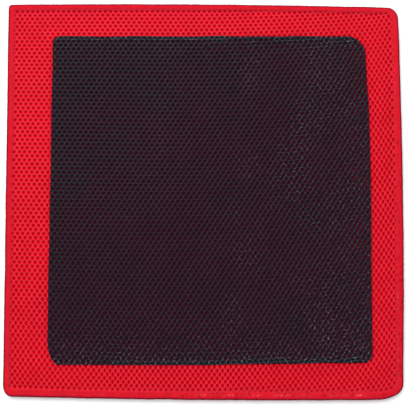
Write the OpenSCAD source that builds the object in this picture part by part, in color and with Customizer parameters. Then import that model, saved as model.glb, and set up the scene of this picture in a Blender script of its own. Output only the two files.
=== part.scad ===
// Mesh surface-prep towel. Two plies of air mesh are sewn together inside out
// and turned, and a rubber-like panel is bonded to the front ply.
// The towel lies flat, front ply up. Z = 0 is its underside, the origin is the
// middle of that face, X runs left to right and Y from the near to the far side.

/* [Towel] */
// Width of the finished towel, left to right
towel_w = 300; // [240:5:400]
// Length of the finished towel, near side to far side
towel_l = 300; // [240:5:400]
// Corner radius at the far right
corner_far_right = 8.5; // [3:0.5:20]
// Corner radius at the far left
corner_far_left = 3; // [3:0.5:20]
// Corner radius at the near left
corner_near_left = 8; // [3:0.5:20]
// Corner radius at the near right
corner_near_right = 15; // [3:0.5:20]

/* [Cloth] */
// Thickness of one ply of air mesh where nothing presses on it
ply = 2.2; // [1.8:0.1:2.3]
// Thickness of one layer of it pressed in the turned seam
pressed_ply = 1.25; // [1.2:0.05:1.4]
// Width of the seam allowance, from the finished edge inwards
allowance = 6; // [5:0.5:8]
// Width over which the front ply slopes down from the seam to the middle
slope_w = 2; // [1:0.5:4]

/* [Panel] */
// Bare cloth to the left of the working panel
border_left = 33; // [15:0.5:50]
// Bare cloth to the right of the panel
border_right = 24; // [15:0.5:50]
// Bare cloth on the far side of the panel
border_far = 24.5; // [15:0.5:50]
// Bare cloth on the near side of the panel
border_near = 27.5; // [15:0.5:50]
// Thickness of the rubber above the cloth
panel_t = 0.8; // [0.6:0.1:1.5]
// Panel corner radius at the far right
panel_far_right = 13; // [1:0.5:20]
// Panel corner radius at the far left
panel_far_left = 5; // [1:0.5:20]
// Panel corner radius at the near left
panel_near_left = 12; // [1:0.5:20]
// Panel corner radius at the near right
panel_near_right = 6.5; // [1:0.5:20]

/* [Sewing] */
// Diameter of the sewing thread
thread_d = 0.3; // [0.2:0.05:0.35]
// Distance between two stitches of the seam
stitch = 4; // [2.5:0.5:6]
// Length of the turning gap, closed by hand on the near side
turning_gap = 80; // [60:5:120]

/* [Hidden] */
$fn = 64;

// Heights of the layers: the two plies meet at ply in the middle of the towel
// and at seam_z in the rim, where four pressed layers lie on each other.
seam_z = 2 * pressed_ply;
rim_z = 2 * seam_z;
cloth_z = 2 * ply;

edge_r = pressed_ply;                 // the turned edge of one ply is a half round
thread_play = 0.06;                   // slack round a thread in its space
thread_gap = thread_d + thread_play;  // height of the space that a thread lies in
needle_back = 0.6;                    // how far behind the turned round the needle sews
needle_in = edge_r + needle_back;     // the needle thread's distance from the edge
fold_back = 0.3;                      // how far behind the round the plies are closed
fold_in = edge_r + fold_back;         // where the space inside the fold begins
channel_w = 1;                        // the cut edges' open space inside the seam
rim_in = allowance + channel_w;       // where the plies come together again
looper_clear = 1;                     // from the fold's inside to a looper thread
looper_bite = [fold_in + looper_clear, allowance + channel_w / 2];
looper_band = 0.8;                    // a looper thread's width, measured across the seam
closing_in = 0.5;                     // the closing thread's distance from the edge
overlap = 0.01;                       // how far joined layers run into each other
past_edge = 1;                        // how far a cutting shape reaches past a corner

// Corners run counter-clockwise from the far right. Side k runs along local X
// after a quarter turn k times, and corner k is at its right-hand end.
TOWEL_CORNERS = [corner_far_right, corner_far_left, corner_near_left, corner_near_right];
PANEL_CORNERS = [panel_far_right, panel_far_left, panel_near_left, panel_near_right];
QUARTERS = [0:3];

function half_length(k, w, l) = (k % 2 == 0 ? w : l) / 2;
function half_across(k, w, l) = (k % 2 == 0 ? l : w) / 2;

cloth_red = [0.86, 0.11, 0.18];
rubber_black = [0.13, 0.10, 0.13];
thread_red = [0.70, 0.06, 0.12];

// A rectangle with four corner radii of its own, made smaller by inset all round
module outline(w, l, corners, inset = 0) {
    difference() {
        square([w - 2 * inset, l - 2 * inset], center = true);
        for (k = QUARTERS)
            if (corners[k] > inset)
                rotate(90 * k)
                    translate([half_length(k, w, l) - corners[k], half_across(k, w, l) - corners[k]])
                        corner_waste(corners[k] - inset);
    }
}

// What is cut off a square corner to leave a quarter round of radius r
module corner_waste(r) {
    difference() {
        square(r + past_edge);
        circle(r);
    }
}

// A flat layer of cloth that follows the towel's outline between two insets
module layer(from, to, low, high) {
    translate([0, 0, low])
        linear_extrude(high - low)
            difference() {
                outline(towel_w, towel_l, TOWEL_CORNERS, from);
                outline(towel_w, towel_l, TOWEL_CORNERS, to);
            }
}

module plate(inset, low, high) {
    translate([0, 0, low])
        linear_extrude(high - low)
            outline(towel_w, towel_l, TOWEL_CORNERS, inset);
}

// Carries a profile (X outwards, Y up) along side k, reach inside the edge
module along_side(k, reach, left_end, right_end) {
    half = half_length(k, towel_w, towel_l);
    rotate(90 * k)
        translate([-(half - left_end), half_across(k, towel_w, towel_l) - reach])
            rotate([90, 0, 90])
                linear_extrude(2 * half - left_end - right_end)
                    children();
}

// Turns a profile (X from the corner's centre outwards, Y up) round corner k
module round_corner(k) {
    r = TOWEL_CORNERS[k];
    rotate(90 * k)
        translate([half_length(k, towel_w, towel_l) - r, half_across(k, towel_w, towel_l) - r])
            rotate_extrude(angle = 90)
                children();
}

module half_round() {
    intersection() {
        circle(edge_r);
        translate([0, -edge_r])
            square([edge_r, 2 * edge_r]);
    }
}

// The round outer edge where one ply turns back inside, centred at height z
module turned_edge(z) {
    for (k = QUARTERS) {
        translate([0, 0, z])
            along_side(k, edge_r, TOWEL_CORNERS[(k + 1) % 4], TOWEL_CORNERS[k])
                half_round();
        translate([0, 0, z])
            round_corner(k)
                translate([TOWEL_CORNERS[k] - edge_r, 0])
                    half_round();
    }
}

// The front ply's slope from the rim down to the middle of the towel
module slope() {
    rise = rim_z - cloth_z;
    translate([0, 0, cloth_z])
        for (k = QUARTERS) {
            along_side(k, rim_in, max(TOWEL_CORNERS[(k + 1) % 4], rim_in), max(TOWEL_CORNERS[k], rim_in))
                polygon([[-slope_w, 0], [0, 0], [0, rise]]);
            if (TOWEL_CORNERS[k] > rim_in)
                round_corner(k)
                    slope_profile(TOWEL_CORNERS[k] - rim_in, rise);
        }
}

// The slope's section at a round corner, cut off at the corner's centre
module slope_profile(outer, rise) {
    inner = max(outer - slope_w, 0);
    polygon([[inner, 0], [outer, 0], [outer, rise], [inner, rise * (slope_w - outer + inner) / slope_w]]);
}

// One ply's rim: the outside layer, its turned edge and the allowance inside,
// with a space between them that the looper thread lies in
module folded_rim(outside_low, outside_high, inside_low, inside_high) {
    layer(edge_r, rim_in, outside_low, outside_high);
    layer(edge_r, allowance, inside_low, inside_high);
    layer(edge_r, fold_in, min(outside_high, inside_high) - overlap, max(outside_low, inside_low) + overlap);
}

// The groove that the needle thread lies in, between the two allowances
module needle_groove() {
    layer(needle_in - thread_gap / 2, needle_in + thread_gap / 2,
          seam_z - thread_gap / 2, seam_z + thread_gap / 2);
}

module front_mesh() {
    fold_z = seam_z + pressed_ply;
    color(cloth_red)
        difference() {
            union() {
                plate(rim_in, ply, cloth_z);
                folded_rim(fold_z + thread_gap / 2, rim_z, seam_z, fold_z - thread_gap / 2);
                turned_edge(fold_z);
                slope();
            }
            needle_groove();
        }
}

module back_mesh() {
    color(cloth_red)
        difference() {
            union() {
                plate(rim_in, 0, ply);
                folded_rim(0, pressed_ply - thread_gap / 2, pressed_ply + thread_gap / 2, seam_z);
                turned_edge(pressed_ply);
            }
            needle_groove();
        }
}

module clay_panel() {
    color(rubber_black)
        translate([(border_left - border_right) / 2, (border_near - border_far) / 2, cloth_z])
            linear_extrude(panel_t)
                outline(towel_w - border_left - border_right,
                        towel_l - border_near - border_far, PANEL_CORNERS);
}

module seam_needle_thread() {
    color(thread_red)
        translate([0, 0, seam_z])
            for (k = QUARTERS) {
                along_side(k, needle_in, TOWEL_CORNERS[(k + 1) % 4], TOWEL_CORNERS[k])
                    circle(thread_d / 2);
                round_corner(k)
                    translate([TOWEL_CORNERS[k] - needle_in, 0])
                        circle(thread_d / 2);
            }
}

// A looper thread's zigzag along one side, from the needle's line over the cut edge
function zigzag(half, shift) = let (steps = 2 * floor(half / stitch)) [
    for (i = [-steps:steps]) [i * stitch / 2, shift - looper_bite[abs(i) % 2]]
];

function backwards(points) = [for (i = [len(points) - 1:-1:0]) points[i]];

// The overlock stops short of the corners, where each side is sewn by itself
module looper_thread(z) {
    for (k = QUARTERS)
        let (half = half_length(k, towel_w, towel_l) - rim_in - stitch)
            rotate(90 * k)
                translate([0, half_across(k, towel_w, towel_l), z - thread_d / 2])
                    linear_extrude(thread_d)
                        polygon(concat(zigzag(half, looper_band / 2),
                                       backwards(zigzag(half, -looper_band / 2))));
}

module seam_upper_looper_thread() {
    color(thread_red)
        looper_thread(seam_z + pressed_ply);
}

module seam_lower_looper_thread() {
    color(thread_red)
        looper_thread(pressed_ply);
}

// The closing thread runs in the valley between the two turned edges
module closing_thread() {
    color(thread_red)
        translate([-turning_gap / 2, -(towel_l / 2 - closing_in), seam_z])
            rotate([0, 90, 0])
                cylinder(h = turning_gap, d = thread_d);
}

front_mesh();
back_mesh();
clay_panel();
seam_needle_thread();
seam_upper_looper_thread();
seam_lower_looper_thread();
closing_thread();
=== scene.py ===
import functools
import math

import bmesh
import bpy
import numpy as np
from bpy.props import FloatProperty, FloatVectorProperty, IntProperty, PointerProperty
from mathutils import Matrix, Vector


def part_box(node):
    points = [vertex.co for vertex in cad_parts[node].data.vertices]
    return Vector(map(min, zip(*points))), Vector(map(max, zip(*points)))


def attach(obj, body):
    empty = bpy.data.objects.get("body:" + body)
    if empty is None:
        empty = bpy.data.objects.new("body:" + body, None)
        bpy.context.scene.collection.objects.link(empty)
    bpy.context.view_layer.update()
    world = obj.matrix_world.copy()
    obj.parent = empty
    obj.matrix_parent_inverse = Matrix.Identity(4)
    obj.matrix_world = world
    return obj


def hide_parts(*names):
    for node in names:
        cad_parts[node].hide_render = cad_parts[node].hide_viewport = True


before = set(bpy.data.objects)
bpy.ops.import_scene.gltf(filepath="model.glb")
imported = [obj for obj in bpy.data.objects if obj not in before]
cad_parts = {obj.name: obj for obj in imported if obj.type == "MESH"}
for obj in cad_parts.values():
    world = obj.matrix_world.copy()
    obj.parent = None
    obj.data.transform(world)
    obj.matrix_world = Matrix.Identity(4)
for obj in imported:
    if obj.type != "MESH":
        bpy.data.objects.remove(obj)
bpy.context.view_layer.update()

bl_info = {
    "name": "Mesh Surface-Prep Towel",
    "version": (1, 0, 0),
    "blender": (4, 5, 0),
    "location": "View3D > Sidebar > Towel",
    "description": "Builds a turned two-ply air mesh towel with a rubber working panel",
    "category": "Object",
}

MM = 0.001
BODY = "root"

# The towel's levels, from the CAD frame. Z = 0 is the surface that it lies on.
FRONT_LOW, FRONT_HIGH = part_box("front_mesh")
BACK_LOW, BACK_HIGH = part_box("back_mesh")
PANEL_LOW, PANEL_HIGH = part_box("clay_panel")
CLOSING_LOW, CLOSING_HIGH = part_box("closing_thread")
SEAM_Z = BACK_HIGH.z                    # where the two plies' turned edges meet
RIM_Z = FRONT_HIGH.z                    # top of the rim, four layers of cloth
MEET_Z = FRONT_LOW.z                    # where the plies meet inside the rim
CLOTH_Z = PANEL_LOW.z                   # top of the front ply in the middle
RUBBER_T = PANEL_HIGH.z - PANEL_LOW.z
EDGE_R = (RIM_Z - SEAM_Z) / 2           # the turned edge of one ply is a half round

HIDDEN_INSET = 2.2 * MM                 # where the knit's cut edge hides below the smooth band
UNDERCUT = 1.16                         # how much wider a hole is below the rubber's skin

STITCH = 4 * MM                         # distance between two stitches of the seam
NEEDLE_INSET = 0.36 * MM                # how far inside the edge the needle thread shows
LOOPER_INSET = 3.4 * MM                 # where the middle of a looper's zigzag runs
LOOPER_BITE = 2.0 * MM                  # how wide that zigzag is
LOOPER_LIFT = 0.4 * MM                  # how far the two loopers lie from the seam's level
CLOSING_INSET = 0.3 * MM                # how far inside the edge the closing thread shows
UNDER_RUBBER = 0.08 * MM                # how much lower the knit lies below the rubber
PANEL_REACH = 0.9 * MM                  # holes this close outside the panel count as its own
BORDER_REACH = 30 * MM                  # how far in under the panel the border's knit is laid out

# Corner radii (along X, along Y), counter-clockwise from the far right
TOWEL_CORNERS = ((8.0, 8.5), (3.0, 3.0), (6.0, 9.5), (20.0, 11.0))
PANEL_CORNERS = ((14.0, 14.0), (5.0, 5.0), (9.0, 21.0), (7.0, 6.0))


# ---------------------------------------------------------------- settings

def length(name, description, default_mm):
    return FloatProperty(name=name, description=description, default=default_mm * MM,
                         unit="LENGTH", subtype="DISTANCE", precision=5)


def colour(name, description, default):
    return FloatVectorProperty(name=name, description=description, default=default,
                               size=3, min=0.0, max=1.0, subtype="COLOR")


class TowelClothSettings(bpy.types.PropertyGroup):
    """The air mesh: its repeat, its holes and how the plies lie"""

    column_pitch: length("Column Pitch", "Distance between two holes in a row", 4.02)
    row_step: length("Row Step", "Distance between two staggered rows of holes", 3.1)
    hole_width: length("Hole Width", "Width of a hole at the far left", 1.65)
    hole_length: length("Hole Length", "Length of a hole at the far left", 1.95)
    near_hole_width: length("Near Hole Width", "Width of a hole at the near right", 1.4)
    near_hole_length: length("Near Hole Length", "Length of a hole at the near right", 3.4)
    hole_depth: length("Hole Depth", "From the face down to the cloth's inner face", 0.95)
    strut_round: length("Strut Rounding", "How far a strut falls towards a hole", 0.42)
    band: length("Smooth Band", "Width of the smooth band along the turned edge", 3.7)
    puff: length("Puff", "How unevenly the front ply lies", 0.45)
    pucker: length("Pucker", "How much the seam gathers the edge", 0.12)
    skew: length("Skew", "How much lower the right side sits than the left", 2.4)
    shrink: length("Shrink", "How much shorter than wide the towel is", 2.0)
    taper: length("Taper", "How much narrower the far side is", 1.2)
    near_roll: length("Near Roll", "How much wider the rim is on the near side", 1.6)
    right_roll: length("Right Roll", "How much wider the rim is on the right side", 0.7)
    left_roll: length("Left Roll", "How much wider the rim is on the left side", 0.6)
    bow: length("Bow", "How far the far, near and right sides bow outwards", 1.4)
    seed: IntProperty(name="Seed", description="Seed of everything random", default=7)


class TowelPanelSettings(bpy.types.PropertyGroup):
    """The rubber working panel"""

    skin: length("Skin", "How far the rubber narrows each hole on every side", 0.12)
    wobble: length("Wobble", "How far the panel's edge wanders", 0.25)
    lean: length("Lean", "How far its right edge leans in at the far end", 3.4)
    rise: length("Rise", "How far its near edge rises at the right end", 1.6)
    depth: length("Depth", "How far the rubber reaches down into a hole", 1.0)
    flooded: length("Flooded Band", "Width of the band whose holes are full of rubber", 3.6)
    near_overrun: length("Near Overrun", "How far the rubber ran over its near side", 1.9)
    right_overrun: length("Right Overrun", "How far the rubber ran over its right side", 1.4)


class TowelSewingSettings(bpy.types.PropertyGroup):
    """Stitches that show in the valley of the edge"""

    stitch: length("Stitch", "Distance between two stitches of the seam", STITCH / MM)
    closing_stitch: length("Closing Stitch", "Distance between two hand stitches", 3.0)
    thread: length("Thread", "Diameter of the thread", 0.3)


class TowelLookSettings(bpy.types.PropertyGroup):
    """Colours of the finishes"""

    cloth: colour("Cloth", "Colour of the air mesh", (0.555, 0.0170, 0.033))
    cloth_rim: colour("Cloth Rim", "Colour of the smooth turned edge", (0.50, 0.0085, 0.018))
    # Painted highlight: the pale dots on the crest of the turned edge
    cloth_crest_highlight: colour("Cloth Crest", "Colour of the worn crest of the edge", (0.72, 0.07, 0.09))
    # Partly the inner face's own deeper red, partly painted shade down the holes
    cloth_deep_and_shade: colour("Cloth Deep", "Colour of the mesh's inner face", (0.50, 0.0004, 0.004))
    cloth_shadow: colour("Cloth Shadow", "Colour of the edge where it turns under", (0.14, 0.002, 0.014))
    cloth_stained: colour("Cloth Stained", "Colour of the cloth under the rubber", (0.045, 0.002, 0.012))
    rubber: colour("Rubber", "Colour of the working panel", (0.0100, 0.0024, 0.0066))
    # The thick coat's colour: partly its own, partly a painted bluish sheen
    rubber_thick_and_sheen: colour("Rubber Thick", "Colour where the coat is thick", (0.006, 0.0042, 0.0095))
    # A painted sheen: the glossy blue of the flooded rubber
    rubber_sheen: colour("Rubber Sheen", "Colour of the flooded rubber", (0.002, 0.0032, 0.008))
    # Painted glints: pale spots on the tops of the panel's struts
    rubber_glint: colour("Rubber Scuff", "Colour of the panel's worn high spots", (0.115, 0.10, 0.125))
    thread: colour("Thread", "Colour of the sewing thread", (0.42, 0.010, 0.024))
    floor: colour("Floor", "Colour of the floor", (0.93, 0.93, 0.93))


# ---------------------------------------------------------------- outlines

class Outline:
    """A rectangle with round corners, and the family of curves at any inset inside it"""

    def __init__(self, low, high, corners_mm):
        low, high = np.array(low[:2]), np.array(high[:2])
        self.centre = (low + high) / 2
        self.half = (high - low) / 2
        self.corners = np.array(corners_mm) * MM

    def split(self, xy):
        """Distances from the middle, their signs, and how far past the corner's centre"""
        local = xy - self.centre
        sign = np.where(local < 0, -1.0, 1.0)
        quadrant = np.select([(sign[:, 0] > 0) & (sign[:, 1] > 0), sign[:, 1] > 0, sign[:, 0] < 0],
                             [0, 1, 2], default=3)
        radii = self.corners[quadrant]
        away = np.abs(local)
        beyond = away - (self.half - radii)
        return away, sign, radii, beyond

    def inset(self, xy):
        """How far inside the outline each point lies; below zero is outside"""
        away, sign, radii, beyond = self.split(xy)
        sides = (self.half - away).min(axis=1)
        reach = np.hypot(beyond[:, 0], beyond[:, 1]) + 1e-12
        ratio = np.hypot(beyond[:, 0] / radii[:, 0], beyond[:, 1] / radii[:, 1]) + 1e-12
        rounded = reach / ratio - reach
        return np.where((beyond > 0).all(axis=1), np.minimum(rounded, sides), sides)

    def loop(self, inset, per_side, per_corner):
        """The closed curve at that inset, counter-clockwise from the far right corner"""
        arcs = []
        for k, flip in enumerate(((1, 1), (-1, 1), (-1, -1), (1, -1))):
            rx, ry = self.corners[k]
            middle = self.centre + np.array(flip) * (self.half - np.maximum((rx, ry), inset))
            turn = np.radians(90 * k + np.linspace(0, 90, per_corner + 1))
            way = np.stack([np.cos(turn), np.sin(turn)], axis=1)
            polar = 1 / np.hypot(way[:, 0] / rx, way[:, 1] / ry)
            arcs.append(middle + way * np.maximum(polar - inset, 0)[:, None])
        points = []
        for k, arc in enumerate(arcs):
            to = arcs[(k + 1) % 4][0]
            steps = np.linspace(0, 1, per_side + 1)[1:-1, None]
            points += [arc, arc[-1] + (to - arc[-1]) * steps]
        return np.concatenate(points)


TOWEL = Outline(FRONT_LOW, FRONT_HIGH, TOWEL_CORNERS)
PANEL = Outline(PANEL_LOW, PANEL_HIGH, PANEL_CORNERS)


# ---------------------------------------------------------------- small maths

def smooth(low, high, x):
    t = np.clip((x - low) / (high - low), 0, 1)
    return t * t * (3 - 2 * t)


def between(a, b, t):
    return a + (b - a) * t


def ripple(xy, wavelength, seed, waves=7):
    """A smooth unevenness from about -1 to 1: sine waves that run in random directions"""
    rng = np.random.default_rng(seed)
    total = np.zeros(len(xy))
    for _ in range(waves):
        angle, phase = rng.uniform(0, math.tau, 2)
        rate = math.tau / wavelength * rng.uniform(0.7, 1.4)
        total += np.sin(rate * (xy[:, 0] * math.cos(angle) + xy[:, 1] * math.sin(angle)) + phase)
    return total / math.sqrt(waves * 2)


def uneven_side(xy):
    """From 0 at the far left to 1 along the near and right sides, which lie less even"""
    return smooth(-0.1, 0.6, (xy[:, 0] - xy[:, 1]) / (TOWEL.half[0] + TOWEL.half[1]))


ROLL = (4 * MM, 6 * MM, 26 * MM)        # insets where the roll is whole, and fades from and to
ROLL_SIDES = (0.80, 0.96)               # shares of the half width over which it sets in


def settle(points, cloth):
    """The small errors of a sewn square: it is drawn in along Y and at its far side, its
    right side sits lower, and its sides bow out"""
    half = TOWEL.half
    x, y = points[:, 0] / half[0], points[:, 1] / half[1]
    moved = points.copy()
    moved[:, 1] -= cloth.shrink * y / 2 + cloth.skew * x / 2
    moved[:, 1] += cloth.bow * (1 - x * x) * (smooth(0, 1, y) - smooth(0, 1, -y))
    moved[:, 0] += 1.5 * cloth.bow * (1 - y * y) * smooth(0, 1, x)
    moved[:, 0] -= cloth.taper * x * (1 + y) / 4
    inset = TOWEL.inset(points)
    whole, fade_from, fade_to = ROLL
    rolled = smooth(0, whole, inset) * (1 - smooth(fade_from, fade_to, inset))
    moved[:, 1] += cloth.near_roll * rolled * smooth(*ROLL_SIDES, -y)
    moved[:, 0] -= cloth.right_roll * rolled * smooth(*ROLL_SIDES, x)
    moved[:, 0] += cloth.left_roll * rolled * smooth(*ROLL_SIDES, -x)
    return moved


GRAIN_SPREAD = 0.008        # share by which columns draw in at the far and at the right side
FAR_SQUEEZE = 3 * MM        # how far the last rows are pushed back from the far side
SQUEEZE_REACH = 30 * MM     # distance over which that falls to about a third
CLIMB = 15.5 * MM           # how far the rows climb by the middle of the right side
CLIMB_LESS_FAR = 2.6 * MM   # how much less they climb at its far end, and more at its near end
CLIMB_POWER = 3.5           # how late along a row the climb sets in
ROW_TILT = 1.3 * MM         # how far the rows fall over half the width before the climb
WANDER = 0.4 * MM           # how far columns and rows stray besides


def drift(uv):
    """Where the knit's columns and rows run on the towel, for a point of the even knit.
    The cloth was cut off the grain: its rows climb more and more towards the right."""
    half = TOWEL.half
    x, y = uv[:, 0], uv[:, 1]
    across, along = x / half[0], y / half[1]
    spread = 1 - GRAIN_SPREAD * along - GRAIN_SPREAD * across
    squeezed = FAR_SQUEEZE * np.exp((y - half[1]) / SQUEEZE_REACH)
    rightward = np.clip((1 + across) / 2, 0, 1.2) ** CLIMB_POWER
    climb = (CLIMB - CLIMB_LESS_FAR * along) * rightward - ROW_TILT * across
    return np.stack([
        x * spread + WANDER * ripple(uv, 150 * MM, 11),
        y - squeezed + climb + WANDER * ripple(uv, 170 * MM, 12),
    ], axis=1)


# ---------------------------------------------------------------- mesh helpers

def mesh_object(name, points, faces, material, attributes=()):
    """A new mesh object at the origin from arrays of points and of triangles or quads"""
    used, renumbered = np.unique(faces, return_inverse=True)
    attributes = {label: values[used] for label, values in dict(attributes).items()}
    return build_mesh(name, points[used], renumbered.reshape(faces.shape), material, attributes)


def build_mesh(name, points, faces, material, attributes):
    mesh = bpy.data.meshes.new(name)
    corners = faces.shape[1]
    mesh.vertices.add(len(points))
    mesh.vertices.foreach_set("co", points.astype(np.float32).ravel())
    mesh.loops.add(faces.size)
    mesh.loops.foreach_set("vertex_index", faces.astype(np.int32).ravel())
    mesh.polygons.add(len(faces))
    mesh.polygons.foreach_set("loop_start", np.arange(0, faces.size, corners, dtype=np.int32))
    mesh.polygons.foreach_set("loop_total", np.full(len(faces), corners, dtype=np.int32))
    mesh.polygons.foreach_set("use_smooth", np.ones(len(faces), dtype=bool))
    for label, values in attributes.items():
        layer = mesh.attributes.new(label, "FLOAT", "POINT")
        layer.data.foreach_set("value", values.astype(np.float32))
    mesh.update(calc_edges=True)
    mesh.validate()
    mesh.materials.append(material)
    made = bpy.data.objects.new(name, mesh)
    bpy.context.scene.collection.objects.link(made)
    return made


def read_points(mesh, label, width):
    """A point attribute of a mesh as an array"""
    values = np.zeros(len(mesh.vertices) * width, np.float32)
    layer = mesh.attributes[label]
    layer.data.foreach_get("vector" if width == 3 else "value", values)
    return values.reshape(-1, width).astype(float) if width > 1 else values.astype(float)


# ---------------------------------------------------------------- node trees

class Tree:
    """A Geometry Nodes tree under construction"""

    def __init__(self, name, inputs):
        self.group = bpy.data.node_groups.new(name, "GeometryNodeTree")
        self.sockets = {}
        for label, kind, default in inputs:
            socket = self.group.interface.new_socket(label, in_out="INPUT", socket_type=kind)
            if default is not None:
                socket.default_value = default
            self.sockets[label] = socket.identifier
        self.group.interface.new_socket("Geometry", in_out="OUTPUT", socket_type="NodeSocketGeometry")
        self.given = self.group.nodes.new("NodeGroupInput")

    def input(self, label):
        return next(s for s in self.given.outputs if s.identifier == self.sockets[label])

    def node(self, kind, links=(), **settings):
        """Adds a node, sets its properties and feeds its inputs, by name or number"""
        made = self.group.nodes.new(kind)
        for key, value in settings.items():
            setattr(made, key, value)
        for key, value in dict(links).items():
            socket = made.inputs[key]
            if isinstance(value, bpy.types.NodeSocket):
                self.group.links.new(value, socket)
            else:
                socket.default_value = value
        return made

    def math(self, operation, a, b=0.0):
        return self.node("ShaderNodeMath", {0: a, 1: b}, operation=operation).outputs[0]

    def finish(self, geometry):
        out = self.group.nodes.new("NodeGroupOutput")
        self.group.links.new(geometry, out.inputs[0])
        return self


def evaluated(tree, values, base=None):
    """Runs a tree on a scratch object, and returns the result as a plain mesh"""
    scratch = bpy.data.objects.new("scratch", base or bpy.data.meshes.new("scratch"))
    bpy.context.scene.collection.objects.link(scratch)
    modifier = scratch.modifiers.new("nodes", "NODES")
    modifier.node_group = tree.group
    for label, value in values.items():
        modifier[tree.sockets[label]] = value
    depsgraph = bpy.context.evaluated_depsgraph_get()
    mesh = bpy.data.meshes.new_from_object(scratch.evaluated_get(depsgraph),
                                           preserve_all_data_layers=True, depsgraph=depsgraph)
    bpy.data.objects.remove(scratch)
    return mesh


def perforated_tree():
    """An even perforated knit: one cell on every point of a staggered grid, joined up.
    Cells whose hole lies nearer the middle than Inner are left out."""
    tree = Tree("perforated_knit", [
        ("Cell", "NodeSocketObject", None),
        ("Column Pitch", "NodeSocketFloat", 4 * MM),
        ("Row Step", "NodeSocketFloat", 3 * MM),
        ("Columns", "NodeSocketInt", 10),
        ("Rows", "NodeSocketInt", 10),
        ("Inner", "NodeSocketVector", (0, 0, 0)),
        ("Seed", "NodeSocketInt", 1),
        ("Material", "NodeSocketMaterial", None),
    ])
    pitch, step = tree.input("Column Pitch"), tree.input("Row Step")
    wide = tree.math("MULTIPLY", pitch, tree.math("SUBTRACT", tree.input("Columns"), 1.0))
    tall = tree.math("MULTIPLY", step, tree.math("SUBTRACT", tree.input("Rows"), 1.0))
    grid = tree.node("GeometryNodeMeshGrid", {
        "Size X": wide, "Size Y": tall,
        "Vertices X": tree.input("Columns"), "Vertices Y": tree.input("Rows"),
    })
    place = tree.node("GeometryNodeInputPosition").outputs[0]
    split = tree.node("ShaderNodeSeparateXYZ", {0: place})
    row = tree.math("ROUND", tree.math("DIVIDE", tree.math("ADD", split.outputs[1], tall), step))
    odd = tree.math("FLOORED_MODULO", row, 2.0)
    half_pitch = tree.math("MULTIPLY", pitch, 0.5)
    aside = tree.math("MULTIPLY", tree.math("SUBTRACT", odd, 0.5), half_pitch)
    shift = tree.node("ShaderNodeCombineXYZ", {0: aside})
    staggered = tree.node("GeometryNodeSetPosition", {
        "Geometry": grid.outputs["Mesh"], "Offset": shift.outputs[0],
    })

    inner = tree.node("ShaderNodeSeparateXYZ", {0: tree.input("Inner")})
    inside_x = tree.math("LESS_THAN", tree.math("ABSOLUTE", split.outputs[0]), inner.outputs[0])
    inside_y = tree.math("LESS_THAN", tree.math("ABSOLUTE", split.outputs[1]), inner.outputs[1])
    kept = tree.node("GeometryNodeDeleteGeometry", {
        "Geometry": staggered.outputs[0], "Selection": tree.math("MULTIPLY", inside_x, inside_y),
    }, domain="POINT")

    marked = tree.node("GeometryNodeStoreNamedAttribute", {
        "Geometry": kept.outputs[0], "Name": "hole", "Value": place,
    }, data_type="FLOAT_VECTOR", domain="POINT")
    chance = tree.node("FunctionNodeRandomValue", {"Seed": tree.input("Seed")}, data_type="FLOAT")
    rolled = tree.node("GeometryNodeStoreNamedAttribute", {
        "Geometry": marked.outputs[0], "Name": "chance", "Value": chance.outputs[1],
    }, data_type="FLOAT", domain="POINT")
    cell = tree.node("GeometryNodeObjectInfo", {"Object": tree.input("Cell")})
    placed = tree.node("GeometryNodeInstanceOnPoints", {
        "Points": rolled.outputs[0], "Instance": cell.outputs["Geometry"],
    })
    real = tree.node("GeometryNodeRealizeInstances", {0: placed.outputs[0]})
    joined = tree.node("GeometryNodeMergeByDistance", {"Geometry": real.outputs[0], "Distance": 0.02 * MM})
    painted = tree.node("GeometryNodeSetMaterial", {
        "Geometry": joined.outputs[0], "Material": tree.input("Material"),
    })
    return tree.finish(painted.outputs[0])


# The rings of a cell: how many points each has, and where it lies. Ring 0 is the crest
# that neighbouring cells share, 1 the hole's edge and 2 the bottom of its wall.
FINE_CELL = ((12, 0.0), (12, 0.5), (12, 1.0), (12, 2.0))
RUBBER_CELL = ((6, 0.0), (12, 1.0), (6, 2.0))
PLAIN_CELL = ((6, 0.0), (6, 1.0), (6, 2.0))


def cell_object(name, rings, pitch, step, floor):
    """One hexagonal cell of the knit, with a unit hole that is sized later.
    With a floor, the bottom of the hole is closed."""
    points, level, starts = [], [], []
    for count, ring in rings:
        starts.append(len(points))
        turn = math.tau / count
        for i in range(count):
            angle = math.radians(30) + i * turn
            at_corner = round(math.degrees(angle) - 30) % 60 == 0
            reach = 1.0 if at_corner else math.cos(math.radians(30))
            across, along = math.cos(angle) * reach, math.sin(angle) * reach
            crest = (across * pitch / math.sqrt(3), along * step * 2 / 3)
            hole = (math.cos(angle) * MM / 2, math.sin(angle) * MM / 2)
            x, y = (between(c, h, min(ring, 1.0)) for c, h in zip(crest, hole))
            points.append((x, y, 0.0))
            level.append(ring)
    faces = []
    for (outer, _), (inner, _), a, b in zip(rings, rings[1:], starts, starts[1:]):
        steps = max(outer, inner)
        for i in range(steps):
            a0, a1 = (a + (i + j) * outer // steps % outer for j in (0, 1))
            b0, b1 = (b + (i + j) * inner // steps % inner for j in (0, 1))
            if outer < inner and i % 2 == 0:
                a1 = a0
            if outer > inner and i % 2 == 0:
                b1 = b0
            if a0 != a1:
                faces.append((a0, a1, b1))
            if b0 != b1:
                faces.append((a0, b1, b0))
    if floor:
        last = starts[-1]
        faces += [(last, last + i, last + i + 1) for i in range(1, rings[-1][0] - 1)]
    mesh = bpy.data.meshes.new(name)
    mesh.from_pydata(points, [], faces)
    layer = mesh.attributes.new("ring", "FLOAT", "POINT")
    layer.data.foreach_set("value", level)
    made = bpy.data.objects.new(name, mesh)
    bpy.context.scene.collection.objects.link(made)
    return made


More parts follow.
